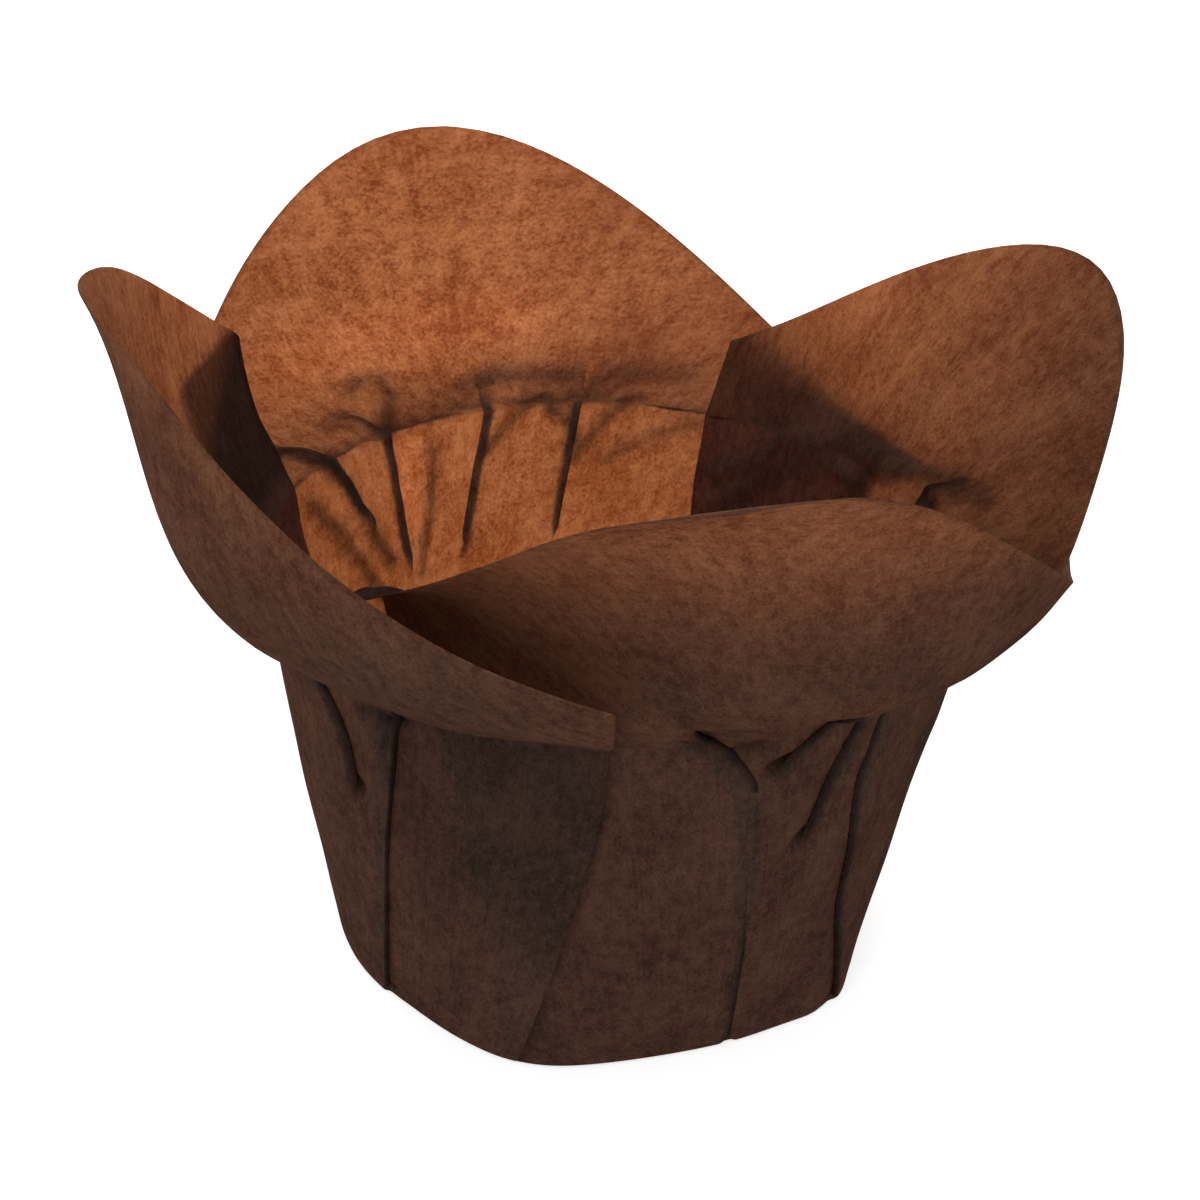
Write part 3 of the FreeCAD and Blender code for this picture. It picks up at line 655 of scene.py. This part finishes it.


def panel_grid(name):
    """A panel's middle surface as rows of points, their places on the flat sheet, and shades."""
    p = PETALS[name]
    level = LEVELS_WALL[:, None]
    azimuth, out, folded = panel_layout(name, LEVELS_WALL, False)
    point, normal = wall_point(azimuth, level + 0 * azimuth)
    lift, dark = relief(name, azimuth, (level - 1) * WALL_LENGTH + 0 * azimuth, point)
    wall = base_swell(point + normal * (out + lift)[..., None])
    flat = BASE_RADIUS + WALL_LENGTH * level + 0 * azimuth
    edges = slit_edge(name, level, -1), slit_edge(name, level, 1)
    u_wall = (azimuth - edges[0]) / (edges[1] - edges[0]) * 2 - 1

    u, out_up, folded_up = panel_layout(name, LEVELS_PETAL, True)
    share = LEVELS_PETAL[:, None] + 0 * u
    up = reach(p, u) * share
    here, normal_up, _ = petal_frame(p, u, share)
    lift_up, dark_up = relief(name, p["middle"] + spread(p, u), up, here)
    petal = here + normal_up * (out_up + lift_up)[..., None]

    flat = np.concatenate([flat, FLAT_NECK + up])
    angle = np.radians(90 * ORDER.index(name) - 90 + 45 * np.concatenate([u_wall, u]))
    sheet = np.stack([flat * np.cos(angle), flat * np.sin(angle)], -1)
    # painted shade inside the pleats joins the relief's painted shade
    shade = np.concatenate([dark + FOLD_SHADE[name] * folded, dark_up + FOLD_SHADE[name] * folded_up])
    return np.concatenate([wall, petal]), sheet, shade


grids = {name: panel_grid(name) for name in ORDER}
for name in ORDER:
    print(name, "grid", grids[name][0].shape[:2])

# %% [markdown]
# The four panels and the base are one sheet. The feet of the panels, side by side, are the rim of
# the base, and rings of the same points shrink from there to the middle, so nothing has to be welded.

# %% Join the sheet
BASE_RINGS = (0.97, 0.9, 0.78, 0.6, 0.38, 0.18)    # radii as shares of the rim
LIGHTEST, DARKEST = -0.3, 0.85                     # limits of the painted shade, negative being painted light


def join_sheet():
    """Middle points, places on the sheet, shades, four-sided faces and triangles of it all."""
    points, sheet, shade, quads, ring = [], [], [], [], []
    start = 0
    for name in ORDER:
        grid, flat, dark = grids[name]
        rows, columns = grid.shape[:2]
        index = np.arange(rows * columns).reshape(rows, columns) + start
        corners = [index[:-1, :-1], index[:-1, 1:], index[1:, 1:], index[1:, :-1]]
        quads.append(np.stack(corners, -1).reshape(-1, 4))
        ring.append(index[0])
        points.append(grid.reshape(-1, 3))
        sheet.append(flat.reshape(-1, 2))
        shade.append(dark.ravel())
        start += rows * columns
    before = np.concatenate(ring)
    points, sheet = np.concatenate(points), np.concatenate(sheet)
    rim, rim_sheet = points[before], sheet[before]
    for share in BASE_RINGS:
        index = np.arange(len(before)) + len(points)
        points = np.concatenate([points, rim * [share, share, 1]])
        sheet = np.concatenate([sheet, rim_sheet * share])
        quads.append(np.stack([index, np.roll(index, -1), np.roll(before, -1), before], -1))
        before = index
    centre = np.full(len(before), len(points))
    points, sheet = np.concatenate([points, [[0, 0, 0]]]), np.concatenate([sheet, [[0, 0]]])
    tris = np.stack([centre, np.roll(before, -1), before], -1)
    shade = np.clip(np.concatenate(shade), LIGHTEST, DARKEST)
    shade = np.concatenate([shade, np.zeros(len(points) - len(shade))])
    return points, sheet, shade, np.concatenate(quads), tris


points, sheet, shade, quads, tris = join_sheet()
print("sheet of", len(points), "points,", len(quads), "four-sided faces and", len(tris), "triangles")

# %% [markdown]
# Paper has two faces and a cut edge. A Solidify modifier could thicken the sheet. Here it is done in
# the open: each point moves half the thickness out and half in along its normal, and every edge that
# only one face uses is closed with a narrow strip. The result is a closed shell, as a real sheet is.

# %% Give the sheet its thickness
def normals(points, quads, tris):
    """Unit normals at the points: the sum of the cross products of the faces round each."""
    total = np.zeros_like(points)
    for faces in (quads, tris):
        a, b, c, d = points[faces[:, 0]], points[faces[:, 1]], points[faces[:, 2]], points[faces[:, -1]]
        across = np.cross(c - a, d - b) if faces.shape[1] == 4 else np.cross(b - a, c - a)
        for corner in range(faces.shape[1]):
            np.add.at(total, faces[:, corner], across)
    return total / np.maximum(np.linalg.norm(total, axis=1, keepdims=True), 1e-12)


def free_edges(face_lists):
    """Edges that only one face uses, in that face's direction."""
    edges = []
    for faces in face_lists:
        for corner in range(faces.shape[1]):
            edges.append(faces[:, [corner, (corner + 1) % faces.shape[1]]])
    edges = np.concatenate(edges)
    _, first, count = np.unique(np.sort(edges, axis=1), axis=0, return_index=True, return_counts=True)
    return edges[first[count == 1]]


total = len(points)
half = normals(points, quads, tris) * PAPER / 2
vertices = np.concatenate([points + half, points - half])
lift = -vertices[:, 2].min()
rims = free_edges([quads, tris])
strips = np.stack([rims[:, 1], rims[:, 0], rims[:, 0] + total, rims[:, 1] + total], -1)
faces = np.concatenate([quads, quads[:, ::-1] + total, strips]).tolist()
faces = faces + np.concatenate([tris, tris[:, ::-1] + total]).tolist()
print(len(vertices), "points,", len(faces), "faces,", len(rims), "rim edges; lifted", round(lift, 3), "mm")

# %% [markdown]
# The mesh carries two maps and the painted shade. The first map is the flat sheet in metres, for the
# fibres.
# The second runs round the sheet and out from its middle, nine times longer that way, for the fine
# streaks that pressing leaves along the rays.

# %% Make the mesh
STREAK_STRETCH = 9


def add_map(mesh, name, places):
    """A UV map from one place per point."""
    loops = np.empty(len(mesh.loops), dtype=np.int64)
    mesh.loops.foreach_get("vertex_index", loops)
    layer = mesh.uv_layers.new(name=name)
    layer.data.foreach_set("uv", places[loops].astype(np.float32).ravel())


mesh = bpy.data.meshes.new("liner_paper")
mesh.from_pydata(((vertices + [0, 0, lift]) / 1000).tolist(), [], faces)
mesh.update()
blank = np.concatenate([sheet, sheet]) / 1000
turn = np.arctan2(blank[:, 1], blank[:, 0])
add_map(mesh, "blank", blank)
around, outward = turn * FLAT_NECK / 1000, np.linalg.norm(blank, axis=1) / STREAK_STRETCH
add_map(mesh, "rays", np.stack([around, outward], -1))
# Painted shade of creases, folds, slit edges and backed zones, negative for painted light.
painted_shade = mesh.attributes.new("painted_shade", "FLOAT", "POINT")
painted_shade.data.foreach_set("value", np.concatenate([shade, shade]).astype(np.float32))
mesh.polygons.foreach_set("use_smooth", [True] * len(mesh.polygons))
paper = bpy.data.objects.new("liner_paper", mesh)
bpy.context.collection.objects.link(paper)
print("mesh", mesh.name, "with maps", [layer.name for layer in mesh.uv_layers])

# %% [markdown]
# Brown greaseproof paper is matt and dense with fibres. Where light only falls on it, it is dark
# brown, and where light comes from behind it glows orange, as on the back petal in the photograph.
# An image texture could show that, but only from one side. Here half of the light is scattered back
# by a diffuse shader and half goes on through a translucent one, each with its own pair of tones.
# The cup is a closed shell, so light passes two such faces, and the translucent tones are the square
# root of what one sheet lets through.

# %% Grain of the paper
# For each noise: its map, pitch in mm, detail, roughness, distortion, and share in the sum.
GRAIN = {
    "cloud": ("blank", 1.5, 4.0, 0.62, 0.0, 0.32),
    "fibre": ("blank", 0.36, 2.0, 0.6, 0.6, 0.34),
    "patch": ("blank", 9.0, 3.0, 0.5, 0.0, 0.22),
    "streak": ("rays", 0.8, 3.0, 0.6, 0.0, 0.12),
}


def linear(code):
    """Linear colour of an sRGB hex code: v over 12.92 when dark, else v plus 0.055 over 1.055, to
    the power 2.4."""
    parts = [int(code[i:i + 2], 16) / 255 for i in (1, 3, 5)]
    return tuple(v / 12.92 if v <= 0.04045 else ((v + 0.055) / 1.055) ** 2.4 for v in parts) + (1.0,)


def add(tree, kind, inputs=None, links=None, **settings):
    """Adds a node with its settings, socket values and links."""
    node = tree.nodes.new(kind)
    for key, value in settings.items():
        setattr(node, key, value)
    for key, value in (inputs or {}).items():
        node.inputs[key].default_value = value
    for key, source in (links or {}).items():
        tree.links.new(source, node.inputs[key])
    return node


def grain(tree):
    """Sum of the noises, each times its share, as one socket."""
    maps = {name: add(tree, "ShaderNodeUVMap", uv_map=name).outputs[0] for name in ("blank", "rays")}
    total = None
    for place, pitch, detail, roughness, distortion, share in GRAIN.values():
        values = {"Scale": 1000 / pitch, "Detail": detail, "Roughness": roughness, "Distortion": distortion}
        noise = add(tree, "ShaderNodeTexNoise", values, {"Vector": maps[place]}).outputs["Fac"]
        if total is None:
            total = add(tree, "ShaderNodeMath", {1: share}, {0: noise}, operation="MULTIPLY").outputs[0]
        else:
            links = {0: noise, 2: total}
            total = add(tree, "ShaderNodeMath", {1: share}, links, operation="MULTIPLY_ADD").outputs[0]
    return total


print("grain", {name: str(values[1]) + " mm" for name, values in GRAIN.items()})

# %% [markdown]
# The grain picks a tone between a dark and a light one, and the painted shade of creases, folds, slit
# edges and double layers takes from it. A faint gloss is left: greaseproof paper has a slight wax-like
# sheen.

# %% Paper material
FACE_TONES = ("#3c2e27", "#684f42")      # light scattered back
THROUGH_TONES = ("#b87f55", "#deae87")   # light let through, at each face of the shell
SHEEN_TONE = (0.5, 0.46, 0.42, 1)
GRAIN_RANGE = (0.41, 0.59)               # values of the grain for the dark and the light tone
THROUGH_SHARE = 0.5
SHEEN_SHARE = 0.012
FACE_ROUGHNESS, SHEEN_ROUGHNESS = 0.6, 0.55
BUMP_STRENGTH, BUMP_HEIGHT = 0.3, 0.00006          # height in metres


def paper_material():
    """Diffuse and translucent light in equal parts under a faint gloss; both colours are the
    grain's tone times one minus the painted shade."""
    mat = bpy.data.materials.new("brown_greaseproof_paper")
    mat.use_nodes = True
    tree = mat.node_tree
    tree.nodes.clear()
    height = grain(tree)
    # painted shade read from the mesh, lighter where negative
    painted_shade_fac = add(tree, "ShaderNodeAttribute", attribute_name="painted_shade").outputs["Fac"]
    keep = add(tree, "ShaderNodeMath", {0: 1.0}, {1: painted_shade_fac}, operation="SUBTRACT").outputs[0]

    def toned(tones):
        ramp = add(tree, "ShaderNodeValToRGB", None, {"Fac": height})
        for stop, place, tone in zip(ramp.color_ramp.elements, GRAIN_RANGE, tones):
            stop.position = place
            stop.color = linear(tone)
        links = {0: ramp.outputs["Color"], "Scale": keep}
        return add(tree, "ShaderNodeVectorMath", None, links, operation="SCALE").outputs[0]

    values = {"Strength": BUMP_STRENGTH, "Distance": BUMP_HEIGHT}
    bump = add(tree, "ShaderNodeBump", values, {"Height": height}).outputs[0]
    face = add(tree, "ShaderNodeBsdfDiffuse", {"Roughness": FACE_ROUGHNESS},
               {"Color": toned(FACE_TONES), "Normal": bump})
    glow = add(tree, "ShaderNodeBsdfTranslucent", None, {"Color": toned(THROUGH_TONES), "Normal": bump})
    sheen = add(tree, "ShaderNodeBsdfGlossy", {"Roughness": SHEEN_ROUGHNESS, "Color": SHEEN_TONE},
                {"Normal": bump})
    body = add(tree, "ShaderNodeMixShader", {0: THROUGH_SHARE}, {1: face.outputs[0], 2: glow.outputs[0]})
    skin = add(tree, "ShaderNodeMixShader", {0: SHEEN_SHARE}, {1: body.outputs[0], 2: sheen.outputs[0]})
    add(tree, "ShaderNodeOutputMaterial", None, {"Surface": skin.outputs[0]})
    return mat


paper.data.materials.append(paper_material())
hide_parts("liner")
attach(paper, "root")
print("material", paper.data.materials[0].name)

# %% [markdown]
# The photograph was cut out on white, so the floor has to be white for the camera and still take a
# soft shadow. It is a pale matt plate with a white glow that only the camera sees: a floor that
# glowed for the paper too would light the cup from below and take its weight away.

# %% Floor
FLOOR_HALF = 1.5         # metres
FLOOR_DROP = 0.0002      # metres below the paper, so that the two never lie in one plane
FLOOR_TONE = "#e7e7e7"
FLOOR_WHITE = 0.64       # glow of the floor, for the camera only
WHITE = (1, 1, 1, 1)


def floor():
    """A square plate: diffuse, plus a glow times one for camera rays and nought for others."""
    data = bpy.data.meshes.new("floor")
    corners = [(x * FLOOR_HALF, y * FLOOR_HALF, 0) for x, y in ((-1, -1), (1, -1), (1, 1), (-1, 1))]
    data.from_pydata(corners, [], [(0, 1, 2, 3)])
    plate = bpy.data.objects.new("floor", data)
    bpy.context.collection.objects.link(plate)
    mat = bpy.data.materials.new("pale_floor")
    mat.use_nodes = True
    tree = mat.node_tree
    tree.nodes.clear()
    seen = add(tree, "ShaderNodeLightPath").outputs["Is Camera Ray"]
    level = add(tree, "ShaderNodeMath", {1: FLOOR_WHITE}, {0: seen}, operation="MULTIPLY").outputs[0]
    matt = add(tree, "ShaderNodeBsdfDiffuse", {"Color": linear(FLOOR_TONE)}).outputs[0]
    glow = add(tree, "ShaderNodeEmission", {"Color": WHITE}, {"Strength": level}).outputs[0]
    both = add(tree, "ShaderNodeAddShader", None, {0: matt, 1: glow})
    add(tree, "ShaderNodeOutputMaterial", None, {"Surface": both.outputs[0]})
    data.materials.append(mat)
    plate.location.z = -FLOOR_DROP
    return plate


plate = floor()
print("floor", plate.name, "half width", FLOOR_HALF, "m")

# %% [markdown]
# One broad lamp near the camera shows the outside of the cup, and weaker ones at the sides and above
# round it off. The glow needs light from behind. Low strips stand just above the floor, behind and
# beside the cup: their light meets the backs of the petals and can't fall over the rim into the cup,
# which would wash the glow out.

# %% Lamps
LAMP_AIM = 0.031         # metres, height that the lamps look at
BOX = dict(distance=0.9, wide=0.7, tall=0.7)       # metres
STRIP = dict(distance=0.38, wide=0.36, tall=0.06)
# Name, azimuth and elevation in degrees, shape, watts.
LAMPS = [
    ("front_light", -30, 30, BOX, 4.8),
    ("left_light", -115, 18, BOX, 1.2),
    ("right_light", 65, 14, BOX, 1.2),
    ("low_back_strip", 172, 0, STRIP, 3.4),
    ("top_light", -20, 78, BOX, 1.2),
    ("low_right_strip", 110, 0, STRIP, 0.35),
    ("low_left_strip", -135, 0, STRIP, 0.3),
]


def way_to(azimuth, elevation):
    """Unit vector from the cup towards an azimuth, 0 being in front at -Y, and an elevation."""
    a, e = math.radians(azimuth), math.radians(elevation)
    return Vector((math.sin(a) * math.cos(e), -math.cos(a) * math.cos(e), math.sin(e)))


def lamp(name, azimuth, elevation, shape, power):
    """A soft rectangular lamp that looks at the cup."""
    back = way_to(azimuth, elevation)
    data = bpy.data.lights.new(name, "AREA")
    data.shape = "RECTANGLE"
    data.energy, data.size, data.size_y = power, shape["wide"], shape["tall"]
    light = bpy.data.objects.new(name, data)
    light.location = back * shape["distance"] + Vector((0, 0, LAMP_AIM))
    light.rotation_mode = "QUATERNION"
    light.rotation_quaternion = (-back).to_track_quat("-Z", "Y")
    light.visible_camera = False
    bpy.context.collection.objects.link(light)
    return light


lamps = [lamp(*values) for values in LAMPS]
print("lamps", [light.name for light in lamps])

# %% [markdown]
# White surroundings give the soft light of a room with pale walls. The camera sees them pure white,
# as in the cut-out photograph, while the paper gets only a fifth of that.

# %% Surroundings
ROOM_LIGHT = 0.18
world = bpy.data.worlds.new("white_surroundings")
world.use_nodes = True
tree = world.node_tree
tree.nodes.clear()
seen = add(tree, "ShaderNodeLightPath").outputs["Is Camera Ray"]
soft = add(tree, "ShaderNodeBackground", {"Color": WHITE, "Strength": ROOM_LIGHT}).outputs[0]
white = add(tree, "ShaderNodeBackground", {"Color": WHITE, "Strength": 1.0}).outputs[0]
pick = add(tree, "ShaderNodeMixShader", None, {0: seen, 1: soft, 2: white})
add(tree, "ShaderNodeOutputWorld", None, {"Surface": pick.outputs[0]})
bpy.context.scene.world = world
bpy.context.scene.view_settings.view_transform = "Standard"
print("surroundings", world.name, "at", ROOM_LIGHT)

# %% [markdown]
# The camera stands where the photographer's did: 30 degrees round from the front petal, 29 degrees up
# and rolled by 3. That was found by fitting the cup's rims to the photograph. The long lens keeps the
# near and the far petal in the photograph's proportion.

# %% Camera
AZIMUTH, ELEVATION, ROLL = -30.0, 29.384, 3.017
DISTANCE = 0.5           # metres
FILM = 1200              # pixels across the photograph
FOCAL_PIXELS = 5252.5    # focal length in the same pixels
SENSOR = 36              # mm
AIM_SIDE, AIM_HEIGHT = -0.001239, 0.035449         # metres, the point at the picture's middle

back = way_to(AZIMUTH, ELEVATION)
right = Vector((math.cos(math.radians(AZIMUTH)), math.sin(math.radians(AZIMUTH)), 0))
up = back.cross(right)
roll = math.radians(ROLL)
turned_right = right * math.cos(roll) + up * math.sin(roll)
turned_up = up * math.cos(roll) - right * math.sin(roll)
place = right * AIM_SIDE + Vector((0, 0, AIM_HEIGHT)) + back * DISTANCE
data = bpy.data.cameras.new("camera")
data.lens, data.sensor_width = SENSOR * FOCAL_PIXELS / FILM, SENSOR
camera = bpy.data.objects.new("camera", data)
camera.matrix_world = Matrix([
    (turned_right[row], turned_up[row], back[row], place[row]) for row in range(3)] + [(0, 0, 0, 1)])
bpy.context.collection.objects.link(camera)
bpy.context.scene.camera = camera
print("camera lens", round(data.lens, 1), "mm")
